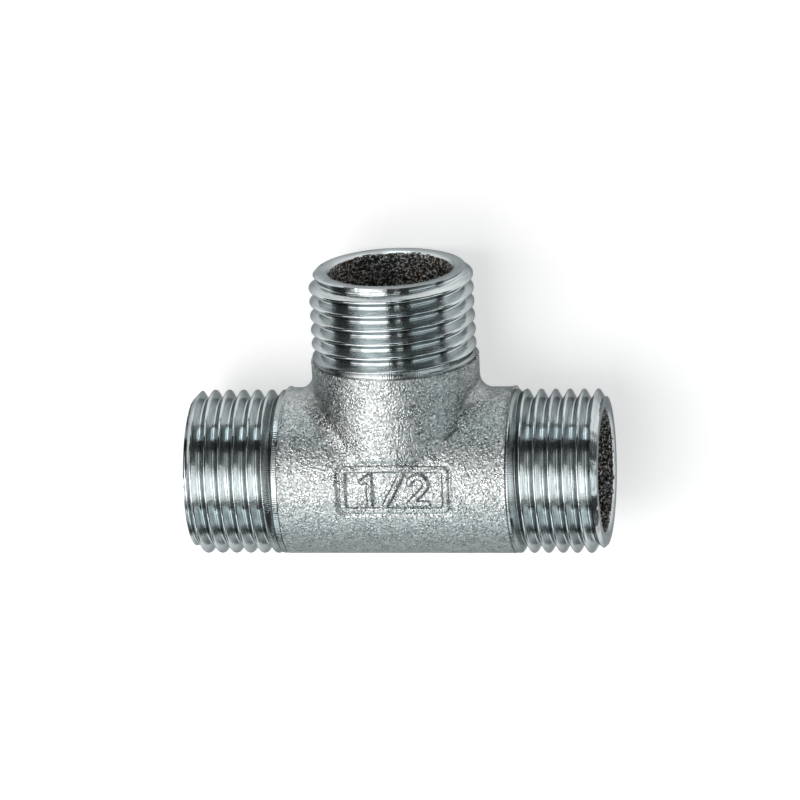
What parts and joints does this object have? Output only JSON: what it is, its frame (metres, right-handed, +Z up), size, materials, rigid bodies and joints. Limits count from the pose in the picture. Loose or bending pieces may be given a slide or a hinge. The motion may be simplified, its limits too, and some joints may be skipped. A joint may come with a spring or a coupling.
{
  "type": "threaded pipe tee",
  "caption": "Cast pipe tee with a male pipe thread on every end and a waterway through the run and the branch.",
  "frame": {"origin": "where the axes of the three ends cross", "axes": "+X along the run, +Y up the branch, +Z up from the surface that the tee lies on"},
  "size_m": [0.0524, 0.0371, 0.021],
  "materials": {
    "nickel_plate": "nickel plate: pebbly as-cast skin on the body, fine turning marks on the ends"
  },
  "bodies": {
    "root": {"tee_body": "nickel_plate"}
  },
  "joints": []
}
